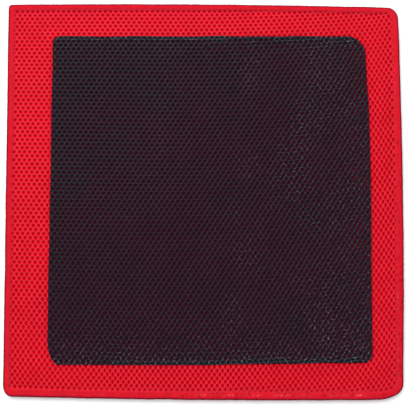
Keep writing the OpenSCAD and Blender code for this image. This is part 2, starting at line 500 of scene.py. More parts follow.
class Knit:
    """A stretch of perforated knit laid on the towel, ready to be given its heights"""

    def __init__(self, cloth, rings, inner_half, material, floor=False, widen=1.0):
        cell = cell_object("knit_cell", rings, cloth.column_pitch, cloth.row_step, floor)
        spare = 22 * MM
        mesh = evaluated(perforated_tree(), {
            "Cell": cell,
            "Column Pitch": cloth.column_pitch,
            "Row Step": cloth.row_step,
            "Columns": 2 * math.ceil((TOWEL.half[0] + spare) / cloth.column_pitch) + 1,
            "Rows": 2 * math.ceil((TOWEL.half[1] + spare) / cloth.row_step) + 1,
            "Inner": (float(inner_half[0]), float(inner_half[1]), 0.0),
            "Seed": cloth.seed,
            "Material": material,
        })
        bpy.data.objects.remove(cell)
        self.cloth = cloth
        self.widen = widen
        points = np.zeros(len(mesh.vertices) * 3, np.float32)
        mesh.vertices.foreach_get("co", points)
        flat = points.reshape(-1, 3)[:, :2].astype(float)
        self.ring = read_points(mesh, "ring", 1)
        self.chance = read_points(mesh, "chance", 1)
        holes = read_points(mesh, "hole", 3)[:, :2]
        faces = np.zeros(len(mesh.loops), np.int32)
        mesh.loops.foreach_get("vertex_index", faces)
        self.faces = faces.reshape(-1, 3)
        bpy.data.meshes.remove(mesh)
        deepest = self.ring[self.faces].argmax(axis=1)
        owner = self.faces[np.arange(len(self.faces)), deepest]
        self.hole = drift(holes)
        self.face_hole = self.hole[owner]
        self.xy = self.with_holes(flat, holes)

    def with_holes(self, flat, holes):
        """Gives every hole its own size, and lays the knit on the towel"""
        cloth = self.cloth
        right, near = (self.hole / TOWEL.half).T * np.array([[0.5], [-0.7]])
        nearness = smooth(-0.8, 0.4, right + near)
        side = uneven_side(self.hole)
        inward = TOWEL.inset(self.hole) - cloth.band
        fade = between(0.4, 1.0, smooth(side * MM - 0.5 * MM, (2.5 + 2.5 * side) * MM, inward))
        vary = self.widen * fade * (1 + 0.16 * (self.chance - 0.5))
        size = np.stack([
            between(cloth.hole_width, cloth.near_hole_width, nearness) * vary,
            between(cloth.hole_length, cloth.near_hole_length, nearness) * vary,
        ], axis=1)
        offset = flat - holes
        crest = self.ring <= 0
        weight = np.minimum(self.ring, 1.0)[:, None]
        # A point lies between the crest and a round unit hole. Only the hole's part is resized.
        angle = np.arctan2(offset[:, 1], offset[:, 0])
        unit = np.stack([np.cos(angle), np.sin(angle)], axis=1) * MM / 2
        pointed = unit * np.abs(np.cos(angle))[:, None] ** (between(0.0, 0.35, nearness)[:, None] * (1, 0))
        resized = offset + weight * (pointed * size / MM - unit)
        return drift(np.where(crest[:, None], flat, holes + resized))

    def select(self, keep):
        self.faces, self.face_hole = self.faces[keep], self.face_hole[keep]

    def split(self, values):
        """Splits the faces that cross zero, so that edges of the mesh run along it"""
        values = np.where(np.abs(values) < 1e-6, 1e-6, values)
        inside = values[self.faces] > 0
        count = inside.sum(axis=1)
        crossing = (count == 1) | (count == 2)
        odd = np.where(count == 1, inside.argmax(axis=1), (~inside).argmax(axis=1))[crossing]
        a, b, c = np.take_along_axis(self.faces[crossing], (odd[:, None] + np.arange(3)) % 3, axis=1).T
        edges = np.sort(np.concatenate([np.column_stack([a, b]), np.column_stack([a, c])]), axis=1)
        edges, index = np.unique(edges, axis=0, return_inverse=True)
        index = index.ravel() + len(self.xy)
        ab, ac = index[:len(a)], index[len(a):]
        start, end = edges.T
        part = values[start] / (values[start] - values[end])
        for label in ("xy", "ring", "chance", "hole"):
            array = getattr(self, label)
            weight = part if array.ndim == 1 else part[:, None]
            setattr(self, label, np.concatenate([array, between(array[start], array[end], weight)]))
        pieces = [np.column_stack(corners) for corners in ((a, ab, ac), (ab, b, c), (ab, c, ac))]
        self.faces = np.concatenate([self.faces[~crossing], *pieces])
        holes = self.face_hole
        self.face_hole = np.concatenate([holes[~crossing]] + [holes[crossing]] * 3)
        return np.concatenate([values, np.zeros(len(edges))])

    def cut(self, values):
        """Splits along zero and leaves out what lies below it"""
        values = self.split(values)
        self.select(values[self.faces].mean(axis=1) > 0)


# ---------------------------------------------------------------- heights

VALLEY_DEPTH = 0.55 * MM    # how far the cloth is drawn down inside the rim
VALLEY_FALL = 1.6 * MM      # width over which the rim falls into the valley
VALLEY_END = 5 * MM         # distance from the band at which it has risen to the middle


def front_height(inset, cloth):
    """Outer surface of the front ply: the rim, the valley inside it, then the middle"""
    valley = CLOTH_Z - VALLEY_DEPTH
    down = smooth(cloth.band, cloth.band + VALLEY_FALL, inset)
    up = smooth(cloth.band + VALLEY_FALL, cloth.band + VALLEY_END, inset)
    return between(between(RIM_Z, valley, down), CLOTH_Z, up)


SHEET_CELLS = 60            # the simulated sheet's cells along one side
SETTLE_FRAMES = 20


def sheet_to_settle():
    """A flat grid the size of the towel, a hair uneven, held along its sewn edge"""
    count = SHEET_CELLS + 1
    across, along = np.meshgrid(*(np.linspace(-half, half, count) for half in TOWEL.half))
    start = MM + np.random.default_rng(3).uniform(0, 0.4 * MM, across.shape)
    points = np.stack([across, along, start], axis=-1).reshape(-1, 3)
    index = np.arange(count * count).reshape(count, count)
    faces = np.stack([index[:-1, :-1], index[:-1, 1:], index[1:, 1:], index[1:, :-1]], axis=-1)
    mesh = bpy.data.meshes.new("settling_sheet")
    mesh.from_pydata(points.tolist(), [], faces.reshape(-1, 4).tolist())
    sheet = bpy.data.objects.new("settling_sheet", mesh)
    bpy.context.scene.collection.objects.link(sheet)
    edges = (index[:2], index[-2:], index[:, :2], index[:, -2:])
    sewn = np.unique(np.concatenate([edge.ravel() for edge in edges]))
    sheet.vertex_groups.new(name="sewn").add(sewn.tolist(), 1.0, "REPLACE")
    return sheet


@functools.cache
def settled_heights():
    """Cloth simulation: the ply is a little too long for its drawn-in edge and settles under
    its own weight. Returns its heights on a grid, as shares of the largest ones."""
    scene = bpy.context.scene
    sheet = sheet_to_settle()
    table_mesh = bpy.data.meshes.new("table")
    table_mesh.from_pydata([(-1, -1, 0), (1, -1, 0), (1, 1, 0), (-1, 1, 0)], [], [(0, 1, 2, 3)])
    table = bpy.data.objects.new("table", table_mesh)
    scene.collection.objects.link(table)
    table.modifiers.new("collision", "COLLISION")
    table.collision.thickness_outer = 0.5 * MM
    cloth = sheet.modifiers.new("cloth", "CLOTH")
    cloth.collision_settings.distance_min = 0.5 * MM
    cloth.point_cache.frame_start = 1
    cloth.point_cache.frame_end = SETTLE_FRAMES
    nature = cloth.settings
    nature.vertex_group_mass = "sewn"
    nature.quality = 8
    nature.mass = 0.003
    nature.tension_stiffness = nature.compression_stiffness = 40
    nature.shear_stiffness = 13
    nature.bending_stiffness = 60
    nature.shrink_min = -0.004
    nature.air_damping = 3
    for number in range(1, SETTLE_FRAMES + 1):
        scene.frame_set(number)
    depsgraph = bpy.context.evaluated_depsgraph_get()
    result = bpy.data.meshes.new_from_object(sheet.evaluated_get(depsgraph))
    points = np.zeros(len(result.vertices) * 3, np.float32)
    result.vertices.foreach_get("co", points)
    heights = points.reshape(SHEET_CELLS + 1, SHEET_CELLS + 1, 3)[:, :, 2].astype(float)
    bpy.data.objects.remove(sheet)
    bpy.data.objects.remove(table)
    bpy.data.meshes.remove(result)
    scene.frame_set(1)
    for _ in range(3):
        heights[1:-1, 1:-1] = (heights[1:-1, 1:-1] + heights[:-2, 1:-1] + heights[2:, 1:-1]
                               + heights[1:-1, :-2] + heights[1:-1, 2:]) / 5
    heights -= np.median(heights)
    return np.clip(heights / np.percentile(np.abs(heights), 95), -1, 1)


def puff_of(xy, cloth):
    """How much higher or lower than flat the front ply lies"""
    place = np.clip((xy / TOWEL.half + 1) / 2 * SHEET_CELLS, 0, SHEET_CELLS - 1e-6)
    column, row = place.astype(int).T
    right, up = (place - place.astype(int)).T
    heights = settled_heights()
    low = between(heights[row, column], heights[row, column + 1], right)
    high = between(heights[row + 1, column], heights[row + 1, column + 1], right)
    return cloth.puff * between(low, high, up) * smooth(6 * MM, 25 * MM, TOWEL.inset(xy))


def gathers(xy, cloth):
    """The small wrinkles that the seam draws into the rim, strongest near its inner side"""
    inset = TOWEL.inset(xy)
    on_rim = smooth(0.8 * MM, 2.2 * MM, inset)
    on_rim *= 1 - smooth(cloth.band + MM, cloth.band + 4 * MM, inset)
    return cloth.pucker * on_rim * (ripple(xy, 7 * MM, 71) + 0.8 * ripple(xy, 24 * MM, 72))


def emerge(inset, cloth):
    """The perforated face starts just under the smooth band and rises out of it"""
    return between(-0.3 * MM, 0.04 * MM, smooth(cloth.band - 1.6 * MM, cloth.band + 0.6 * MM, inset))


RINGS = (0.0, 0.5, 1.0, 2.0)
# The face gets a painted shade in the valley inside the rim.
VALLEY = 1.2 * MM           # how far inside the band the valley is darkest, and its width


def drop_of(ring, cloth, depth):
    """How far a point lies below the crest of its strut"""
    return np.interp(ring, RINGS, (0.0, 0.22 * cloth.strut_round, cloth.strut_round, depth))


# ---------------------------------------------------------------- the plies

def front_face(name, cloth, panel, rings, inner_half, keep, lower, material):
    """A stretch of the front ply's perforated face. keep says which holes belong to it, and
    lower puts it under the rubber, where the rubber also closes and stains its holes."""
    under = lower > 0
    knit = Knit(cloth, rings, inner_half, material, floor=under, widen=UNDERCUT if under else 1.0)
    knit.select(keep(knit.face_hole))
    knit.cut(TOWEL.inset(knit.xy) - HIDDEN_INSET)
    xy = knit.xy
    inset = TOWEL.inset(xy)
    z = front_height(inset, cloth) + emerge(inset, cloth) - lower
    z += puff_of(xy, cloth) + gathers(xy, cloth)
    z -= drop_of(knit.ring, cloth, cloth.hole_depth - (0.2 * MM if under else 0))
    placed = settle(xy, cloth)
    inside = PANEL.inset(placed + panel_drift(placed, panel))
    thin_coat = smooth(0.85, 1.0, placed[:, 0] / PANEL.half[0])
    thin_coat *= np.clip(0.6 + ripple(placed, 45 * MM, 47), 0, 1)
    stained = smooth(-0.6 * MM, 0.2 * MM, inside) * (1 - 0.28 * thin_coat * knit.chance)
    # valley: how much painted shade the face gets in the valley inside the rim, more on the near and right
    # sides
    valley = np.exp(-((inset - cloth.band - VALLEY) / VALLEY) ** 2) * between(0.3, 1.0, uneven_side(xy))
    return mesh_object(name, np.column_stack([placed, z]), knit.faces, material,
                       {"ring": knit.ring, "stained": stained, "valley": valley})


def back_face(name, cloth, material):
    """The back ply's perforated face, which looks down"""
    knit = Knit(cloth, PLAIN_CELL, (0, 0), material)
    knit.cut(TOWEL.inset(knit.xy) - HIDDEN_INSET)
    xy = knit.xy
    inset = TOWEL.inset(xy)
    hollow = 0.25 * MM * smooth(cloth.band, cloth.band + 2.2 * MM, inset)
    uneven = 0.2 * MM * (1 + ripple(xy, 60 * MM, 31)) * smooth(6 * MM, 20 * MM, inset)
    z = np.maximum(hollow + uneven - emerge(inset, cloth), 0.0)
    z += drop_of(knit.ring, cloth, cloth.hole_depth)
    points = np.column_stack([settle(xy, cloth), z])
    return mesh_object(name, points, knit.faces[:, ::-1], material, {"ring": knit.ring})


PER_SIDE = 280              # points of a ply's edge along one side
PER_CORNER = 14             # and round one corner
CREST_HIGHLIGHT_INSET = 3.45 * MM     # where the edge gets its painted highlight
CREST_HIGHLIGHT_WIDTH = 0.4 * MM
BURIED_W = 2.4 * MM         # width over which a ply's body sinks below its face
BURIED_GAP = 0.05 * MM      # how far above the bottom of the holes it then lies


def ply_shell(name, cloth, section, material, top):
    """The closed body of one ply: a section of (inset, height) carried round the towel.
    Every stitch of the seam nicks its edge, and the seam gathers it."""
    rings, looks = [], {"middle": [], "outermost": []}
    for inset, z in section:
        loop = TOWEL.loop(inset, PER_SIDE, PER_CORNER)
        nick = np.clip(np.cos((loop[:, 0] + loop[:, 1]) * math.tau / STITCH), 0, 1) ** 4
        drawn = cloth.pucker * (nick + 0.7 * ripple(loop, 9 * MM, 51) + 0.9 * ripple(loop, 35 * MM, 52))
        drawn *= 1 - smooth(3 * MM, 7 * MM, inset)
        inward = (TOWEL.centre - loop) / np.linalg.norm(loop - TOWEL.centre, axis=1)[:, None]
        height = np.full(len(loop), z)
        if z > SEAM_Z + EDGE_R and top:
            height += gathers(loop, cloth)
        rings.append(np.column_stack([settle(loop + inward * drawn[:, None], cloth), height]))
        middle = smooth(cloth.band + 0.6 * MM, cloth.band + 1.8 * MM, inset)
        looks["middle"].append(np.full(len(loop), middle))
        looks["outermost"].append(np.full(len(loop), 1 - smooth(0.5 * MM, 1.5 * MM, inset)))
    count = len(rings[0])
    here = np.arange(count)
    onward = (here + 1) % count
    faces = []
    for k in range(len(rings) - 1):
        a, b = k * count, (k + 1) * count
        faces.append(np.column_stack([a + here, a + onward, b + onward, b + here]))
    points = np.concatenate(rings)
    looks = {label: np.concatenate(values) for label, values in looks.items()}
    # crest: where the top of the edge gets a painted highlight
    looks = {**looks, "crest": crest_highlight_of(points), "uneven": uneven_side(points)}
    made = mesh_object(name, points, np.concatenate(faces), material, looks)
    close_ends(made, count)
    return made


def crest_highlight_of(points):
    """Where the top of the edge gets a painted highlight: a broken row of dots, mostly near and to the
    right
    """
    xy = points[:, :2]
    inset = TOWEL.inset(xy)
    line = np.exp(-((inset - CREST_HIGHLIGHT_INSET) / CREST_HIGHLIGHT_WIDTH) ** 2)
    side = between(0.1, 1.0, uneven_side(xy))
    dots = smooth(-0.3, 1.0, ripple(xy, 3.4 * MM, 62))
    broken = between(0.15, 1.0, smooth(-0.5, 0.8, ripple(xy, 16 * MM, 61)))
    return line * side * broken * dots


def close_ends(made, count):
    """Closes the first and last loops of a shell with one flat face each"""
    bm = bmesh.new()
    bm.from_mesh(made.data)
    bm.verts.ensure_lookup_table()
    bm.faces.new([bm.verts[i] for i in range(count)][::-1])
    bm.faces.new([bm.verts[i] for i in range(len(bm.verts) - count, len(bm.verts))])
    bmesh.ops.recalc_face_normals(bm, faces=bm.faces)
    bm.to_mesh(made.data)
    bm.free()


def half_round(middle_z, bottom_first):
    """The turned edge's section, from the valley round to the flat side"""
    turn = np.radians(np.linspace(-84, 90, 13)) * (1 if bottom_first else -1)
    return [(EDGE_R - EDGE_R * math.cos(a), middle_z + EDGE_R * math.sin(a)) for a in turn]


BURIED = tuple(i / 8 for i in range(9))     # steps in which a ply's body sinks below its face


# The section of a ply's inner side, which is the same for both plies
INNER_SIDE = ((9 * MM, MEET_Z), (7 * MM, MEET_Z), (5.5 * MM, SEAM_Z), (3 * MM, SEAM_Z))


def front_section(cloth):
    """From the middle of the inner side, round the turned edge, to the middle of the face"""
    section = list(INNER_SIDE)
    section += half_round(SEAM_Z + EDGE_R, True)
    section += [(cloth.band * part, RIM_Z) for part in (0.5, 0.75, 0.92)]
    for part in BURIED:
        inset = cloth.band + part * BURIED_W
        sunk = (cloth.hole_depth - BURIED_GAP) * smooth(0, 0.8, part)
        section.append((inset, front_height(inset, cloth) - sunk))
    return section + [(cloth.band + 6 * MM, CLOTH_Z - cloth.hole_depth + BURIED_GAP)]


def back_section(cloth):
    """The same way round for the back ply, whose face looks down"""
    section = list(INNER_SIDE)
    section += half_round(EDGE_R, False)
    section += [(cloth.band * part, 0.0) for part in (0.5, 0.75)]
    for part in BURIED:
        sunk = (cloth.hole_depth - BURIED_GAP) * smooth(0, 0.8, part)
        section.append((cloth.band + part * BURIED_W, sunk))
    return section + [(cloth.band + 6 * MM, cloth.hole_depth - BURIED_GAP)]


# ---------------------------------------------------------------- the rubber

def flooding(xy, panel):
    """How full of rubber the holes are: whole along the far edge and at the near right"""
    from_far = PANEL.centre[1] + PANEL.half[1] - xy[:, 1]
    rightward = smooth(-0.9, 0.9, xy[:, 0] / PANEL.half[0])
    near_edge = PANEL.centre[1] - PANEL.half[1] - panel.near_overrun + panel.rise * rightward
    from_near = xy[:, 1] - near_edge
    uneven = 1.6 * MM * ripple(xy, 24 * MM, 41)
    width = panel.flooded
    far = 1 - smooth(width * 0.5, width * 1.3, from_far + uneven)
    near_width = width * between(0.2, 1.3, rightward)
    near = 1 - smooth(near_width * 0.6, near_width * 1.3, from_near + uneven)
    return np.clip(np.maximum(far, near) + 0.12 * ripple(xy, 40 * MM, 42), 0, 1)


def panel_drift(xy, panel):
    """How far a point is from where it would be on a panel with straight sides"""
    x, y = ((xy - PANEL.centre) / PANEL.half).T
    left, right = smooth(0, 1, -x), smooth(-0.2, 1, x)
    far, near = smooth(0.2, 1.1, y), smooth(0, 1, -y)
    leaning = panel.lean * (far * right - 0.3 * (y + 0.4) * left)
    off = np.stack([
        leaning - panel.right_overrun * right - 0.4 * MM * left,
        near * (panel.near_overrun - panel.rise * right),
    ], axis=1)
    wander = [ripple(xy, 40 * MM, seed) + 0.5 * ripple(xy, 5 * MM, seed + 5) for seed in (43, 44)]
    return off + panel.wobble * np.stack(wander, axis=1)


def rubber_panel(name, cloth, panel, material):
    """The rubber: a thick skin over the mesh's struts, with the holes mostly left open"""
    knit = Knit(cloth, RUBBER_CELL, (0, 0), material)
    knit.select(PANEL.inset(knit.face_hole) > -8 * MM)
    full = flooding(knit.hole, panel)
    patchy = np.clip(full + 0.5 * (knit.chance - 0.75), 0, 1)
    shrink = (1 - panel.skin * 2 / cloth.hole_width) * (1 - 0.9 * smooth(0.35, 0.75, patchy))
    in_hole = knit.ring >= 1
    undercut = np.where(knit.ring > 1.5, UNDERCUT, 1.0)
    resized = knit.hole + (knit.xy - knit.hole) * (shrink * undercut)[:, None]
    knit.xy = settle(np.where(in_hole[:, None], resized, knit.xy), cloth)

    def inset_now():
        return PANEL.inset(knit.xy + panel_drift(knit.xy, panel))

    knit.cut(inset_now())
    for level in (0.15, 0.45, 1.0):
        knit.split(inset_now() - level * MM)
    inset = np.maximum(inset_now(), 0)
    full = flooding(knit.hole, panel)
    rounded = np.sqrt(1 - (1 - np.clip(inset / (1.0 * MM), 0, 1)) ** 2)
    thick = RUBBER_T * (0.92 + 0.10 * ripple(knit.xy, 12 * MM, 45)) * rounded
    z = CLOTH_Z + puff_of(knit.xy, cloth) + thick - 0.15 * MM * (1 - rounded)
    patchy = np.clip(full + 0.5 * (knit.chance - 0.75), 0, 1)
    deep = between(panel.depth, 0.30 * MM, smooth(0.2, 0.7, patchy))
    edge = between(0.42 * MM, 0.22 * MM, full)
    z -= np.interp(knit.ring, (0, 1), (0, 1)) * edge + np.clip(knit.ring - 1, 0, 1) * deep
    points = np.column_stack([knit.xy, z])
    right, up = ((knit.xy - PANEL.centre) / PANEL.half).T
    far_left = 0.5 * smooth(0.2, 1.6, up - right)
    # coat: high along the panel's edges and at its far left; there the rubber is glossier and bluer,
    # partly with painted sheen
    coat = np.clip(np.exp(-inset / (16 * MM)) + far_left + 0.55 * ripple(knit.xy, 55 * MM, 48), 0, 1)
    # The last attribute says how many painted glints the rubber gets
    looks = {"ring": knit.ring, "full": full, "coat": coat, "glinted": glint_amount(knit.xy)}
    return mesh_object(name, points, knit.faces, material, looks)


def glint_amount(xy):
    """How many painted glints the panel gets: most along its near side, some along the far and right sides
    """
    right, up = ((xy - PANEL.centre) / PANEL.half).T
    from_far, from_near = (1 - up) * PANEL.half[1], (1 + up) * PANEL.half[1]
    near = np.exp(-from_near / (16 * MM))
    far = 0.8 * np.exp(-from_far / (5 * MM))
    rightward = 0.5 * smooth(0.2, 0.9, right + 0.3 * ripple(xy, 60 * MM, 81))
    patches = 0.4 * smooth(0.3, 1.2, ripple(xy, 50 * MM, 82)) * smooth(-0.7, 0.2, right)
    return np.clip(near + far + rightward + patches, 0, 1)


# ---------------------------------------------------------------- the sewing

def stitch_tree():
    """One stitch on every step along the given line, turned the way the line runs"""
    tree = Tree("stitches", [
        ("Line", "NodeSocketObject", None),
        ("Stitch", "NodeSocketObject", None),
        ("Step", "NodeSocketFloat", 4 * MM),
        ("Material", "NodeSocketMaterial", None),
    ])
    line = tree.node("GeometryNodeObjectInfo", {"Object": tree.input("Line")})
    curve = tree.node("GeometryNodeMeshToCurve", {"Mesh": line.outputs["Geometry"]})
    spaced = tree.node("GeometryNodeCurveToPoints", {
        "Curve": curve.outputs[0], "Length": tree.input("Step"),
    }, mode="LENGTH")
    stitch = tree.node("GeometryNodeObjectInfo", {"Object": tree.input("Stitch")})
    turned = tree.node("FunctionNodeAlignRotationToVector", {"Vector": spaced.outputs["Tangent"]},
                       axis="X", pivot_axis="Z")
    placed = tree.node("GeometryNodeInstanceOnPoints", {
        "Points": spaced.outputs["Points"], "Instance": stitch.outputs["Geometry"],
        "Rotation": turned.outputs[0],
    })
    real = tree.node("GeometryNodeRealizeInstances", {0: placed.outputs[0]})
    painted = tree.node("GeometryNodeSetMaterial", {
        "Geometry": real.outputs[0], "Material": tree.input("Material"),
    })
    return tree.finish(painted.outputs[0])


def thread_piece(name, spine, side, radius, sides=6):
    """A short length of thread along a spine that nowhere runs along side"""
    last = len(spine) - 1
    points, faces = [], []
    for i, place in enumerate(spine):
        along = (spine[min(i + 1, last)] - spine[max(i - 1, 0)]).normalized()
        across = along.cross(side).normalized()
        up = across.cross(along)
        swell = radius * (0.6 if i in (0, last) else 1.0)
        for j in range(sides):
            turn = math.tau * j / sides
            points.append(place + (across * math.cos(turn) + up * math.sin(turn)) * swell)
    for i in range(last):
        for j in range(sides):
            k = (j + 1) % sides
            faces.append((i * sides + j, i * sides + k, (i + 1) * sides + k, (i + 1) * sides + j))
    faces += [tuple(range(sides))[::-1], tuple(last * sides + j for j in range(sides))]
    mesh = bpy.data.meshes.new(name)
    mesh.from_pydata(points, [], faces)
    made = bpy.data.objects.new(name, mesh)
    bpy.context.scene.collection.objects.link(made)
    return made


def bar_stitch(radius, reach, bulge, lean):
    """A stitch that bridges the valley between the two edges, seen from outside"""
    spine = []
    for i in range(9):
        t = i / 8 - 0.5
        spine.append(Vector((lean * t, -bulge * math.cos(math.pi * t), reach * t)))
    return thread_piece("stitch", spine, Vector((1, 0, 0)), radius)


def looper_stitch(radius, step, bite):
    """One zigzag of a looper thread, out to the seam and back over the cut edge"""
    spine = []
    for i in range(9):
        t = i / 8
        spine.append(Vector((step * (t - 0.5), bite * (abs(2 * t - 1) - 0.5), 0)))
    return thread_piece("stitch", spine, Vector((0, 0, 1)), radius)


def line_object(name, points, closed):
    edges = [(i, i + 1) for i in range(len(points) - 1)]
    if closed:
        edges.append((len(points) - 1, 0))
    mesh = bpy.data.meshes.new(name)
    mesh.from_pydata([tuple(p) for p in points], edges, [])
    made = bpy.data.objects.new(name, mesh)
    bpy.context.scene.collection.objects.link(made)
    return made


def stitches(name, points, closed, stitch, step, material):
    line = line_object(name + "_line", points, closed)
    mesh = evaluated(stitch_tree(), {"Line": line, "Stitch": stitch, "Step": step, "Material": material})
    for scratch in (line, stitch):
        bpy.data.objects.remove(scratch)
    for polygon in mesh.polygons:
        polygon.use_smooth = True
    mesh.name = name
    made = bpy.data.objects.new(name, mesh)
    bpy.context.scene.collection.objects.link(made)
    bm = bmesh.new()
    bm.from_mesh(mesh)
    bmesh.ops.recalc_face_normals(bm, faces=bm.faces)
    bm.to_mesh(mesh)
    bm.free()
    return made


# ---------------------------------------------------------------- finishes

class Finish:
    """A material under construction, around one Principled shader"""

    def __init__(self, name, roughness, specular=0.5, **plain):
        self.material = bpy.data.materials.new(name)
        self.material.use_nodes = True
        self.nodes = self.material.node_tree.nodes
        self.links = self.material.node_tree.links
        self.nodes.clear()
        self.shader = self.nodes.new("ShaderNodeBsdfPrincipled")
        out = self.nodes.new("ShaderNodeOutputMaterial")
        self.links.new(self.shader.outputs[0], out.inputs[0])
        self.shader.inputs["Roughness"].default_value = roughness
        self.shader.inputs["Specular IOR Level"].default_value = specular
        for key, value in plain.items():
            self.shader.inputs[key.replace("_", " ").title()].default_value = value
        self.place = self.nodes.new("ShaderNodeTexCoord").outputs["Object"]

    def node(self, kind, links=(), **settings):
        made = self.nodes.new(kind)
        for key, value in settings.items():
            setattr(made, key, value)
        for key, value in dict(links).items():
            if isinstance(value, bpy.types.NodeSocket):
                self.links.new(value, made.inputs[key])
            else:
                made.inputs[key].default_value = value
        return made

    def math(self, operation, a, b=0.0, c=0.0):
        return self.node("ShaderNodeMath", {0: a, 1: b, 2: c}, operation=operation).outputs[0]

    def scaled(self, size, stretch=(1, 1, 1)):
        """The place on the towel, measured in features of that size"""
        scale = tuple(s / size for s in stretch)
        return self.node("ShaderNodeMapping", {"Vector": self.place, "Scale": scale}).outputs[0]

    def noise(self, size, detail=2.0):
        """Noise from 0 to 1 whose features are about size across"""
        return self.node("ShaderNodeTexNoise", {
            "Vector": self.scaled(size), "Scale": 1.0, "Detail": detail,
        }).outputs[0]

    def cells(self, size, stretch=(1, 1, 1)):
        """A pattern of small round dents about size across, as the loops of a knit make"""
        return self.node("ShaderNodeTexVoronoi", {
            "Vector": self.scaled(size, stretch), "Scale": 1.0,
        }).outputs[0]

    def blend(self, a, b, share):
        """Two patterns added up, with that share of the first"""
        return self.math("ADD", self.math("MULTIPLY", a, share), self.math("MULTIPLY", b, 1 - share))

    def unit(self, value, low, high):
        """The value's place between low and high, from 0 to 1"""
        return self.range(value, low, high, 0.0, 1.0)

    def round_strut(self, ring):
        """The height of a strut with a round back, from 1 on its crest to 0 at the hole"""
        squared = self.math("POWER", self.range(ring, 0, 1, 0, 0.98), 2.0)
        return self.math("SQRT", self.math("SUBTRACT", 1.0, squared))

    def attribute(self, label):
        return self.node("ShaderNodeAttribute", attribute_name=label).outputs["Fac"]

    def range(self, value, from_low, from_high, to_low, to_high):
        return self.node("ShaderNodeMapRange", {
            0: value, 1: from_low, 2: from_high, 3: to_low, 4: to_high,
        }).outputs[0]

    def mix(self, factor, a, b):
        made = self.node("ShaderNodeMix", data_type="RGBA")
        for socket, value in zip((made.inputs[0], made.inputs[6], made.inputs[7]), (factor, a, b)):
            if isinstance(value, bpy.types.NodeSocket):
                self.links.new(value, socket)
            else:
                socket.default_value = (*value, 1.0) if hasattr(value, "__len__") else value
        return made.outputs[2]

    def bump(self, height, distance, strength=1.0):
        made = self.node("ShaderNodeBump", {"Height": height, "Distance": distance, "Strength": strength})
        self.links.new(made.outputs[0], self.shader.inputs["Normal"])

    def feed(self, socket, value):
        self.links.new(value, self.shader.inputs[socket])

    def tint(self, socket, value, factor):
        self.shader.inputs[socket].default_value = (*shade(value, factor), 1.0)


def shade(colour_value, factor):
    return tuple(min(c * factor, 1.0) for c in colour_value)


def mesh_finish(look):
    """Red polyester struts: fine yarns along each strut, paler on the crest, darker in the hole, where the
    inner face's deeper red is partly painted shade, and with painted shade in the valley inside the rim
    """
    finish = Finish("red_air_mesh", 0.62, 0.14, sheen_weight=0.10, sheen_roughness=0.45)
    finish.tint("Sheen Tint", look.cloth, 1.0)
    finish.tint("Specular Tint", look.cloth, 1.3)
    ring = finish.attribute("ring")
    patch = finish.noise(9 * MM)
    fine = finish.noise(0.45 * MM, 3.0)
    worn = finish.blend(patch, fine, 0.6)
    face = finish.mix(finish.unit(worn, 0.3, 0.7), shade(look.cloth, 0.90), shade(look.cloth, 1.12))
    # Down a hole's wall the colour goes over to the inner face's deeper red, partly painted shade; under
    # the rubber, to the stained cloth
    depth = finish.unit(ring, 0.75, 1.15)
    hidden = finish.mix(finish.attribute("stained"), look.cloth_deep_and_shade, look.cloth_stained)
    # Painted shade in the valley inside the rim
    painted_valley_shade = finish.math("MULTIPLY", finish.attribute("valley"), 0.6)
    shaded = finish.mix(painted_valley_shade, face, shade(look.cloth, 0.6))
    finish.feed("Base Color", finish.mix(depth, shaded, hidden))
    finish.feed("Roughness", finish.range(fine, 0.3, 0.7, 0.52, 0.72))
    rounded = finish.round_strut(ring)
    waved = finish.math("ADD", finish.math("MULTIPLY", ring, 13.0), finish.math("MULTIPLY", fine, 12.0))
    strands = finish.math("SINE", waved)
    loops = finish.cells(0.42 * MM, (1.0, 0.6, 1.0))
    yarns = finish.math("MULTIPLY", strands, 0.06)
    height = finish.math("ADD", yarns, finish.math("MULTIPLY", loops, 0.30))
    finish.bump(finish.math("ADD", height, rounded), 0.28 * MM, 0.9)
    return finish.material


def shell_finish(look):
    """The plain knit: bright on the turned edge, with a painted highlight in dots on its crest, deep red
    with some painted shade where it is seen through the holes, and painted shade where the two turned
    edges meet"""
    finish = Finish("red_plain_knit", 0.66, 0.05, sheen_weight=0.03, sheen_roughness=0.5)
    finish.tint("Sheen Tint", look.cloth, 1.0)
    finish.tint("Specular Tint", look.cloth, 1.3)
    in_middle = finish.attribute("middle")
    patch = finish.noise(7 * MM)
    fine = finish.noise(0.5 * MM, 3.0)
    worn = finish.unit(finish.blend(patch, fine, 0.7), 0.3, 0.7)
    smooth_band = finish.mix(worn, shade(look.cloth_rim, 0.88), shade(look.cloth_rim, 1.08))
    dimples = finish.range(finish.cells(3.4 * MM, (1.0, 0.7, 1.0)), 0.10, 0.40, 0.8, 0.0)
    dimpled = finish.math("MULTIPLY", dimples, finish.attribute("uneven"))
    band = finish.mix(dimpled, smooth_band, shade(look.cloth_rim, 0.5))
    # Painted highlight: pale dots on the crest of the turned edge
    crest = finish.mix(finish.attribute("crest"), band, look.cloth_crest_highlight)
    edge = finish.mix(finish.attribute("outermost"), crest, look.cloth_shadow)
    # Where the body is seen through the holes it takes the deeper red, partly painted shade
    finish.feed("Base Color", finish.mix(in_middle, edge, look.cloth_deep_and_shade))
    loops = finish.cells(0.5 * MM, (1.3, 0.7, 1.0))
    ribs = finish.math("ADD", finish.math("MULTIPLY", loops, 0.8), finish.noise(1.5 * MM, 2.0))
    finish.bump(finish.math("ADD", ribs, finish.math("MULTIPLY", patch, 1.5)), 0.16 * MM, 0.8)
    return finish.material


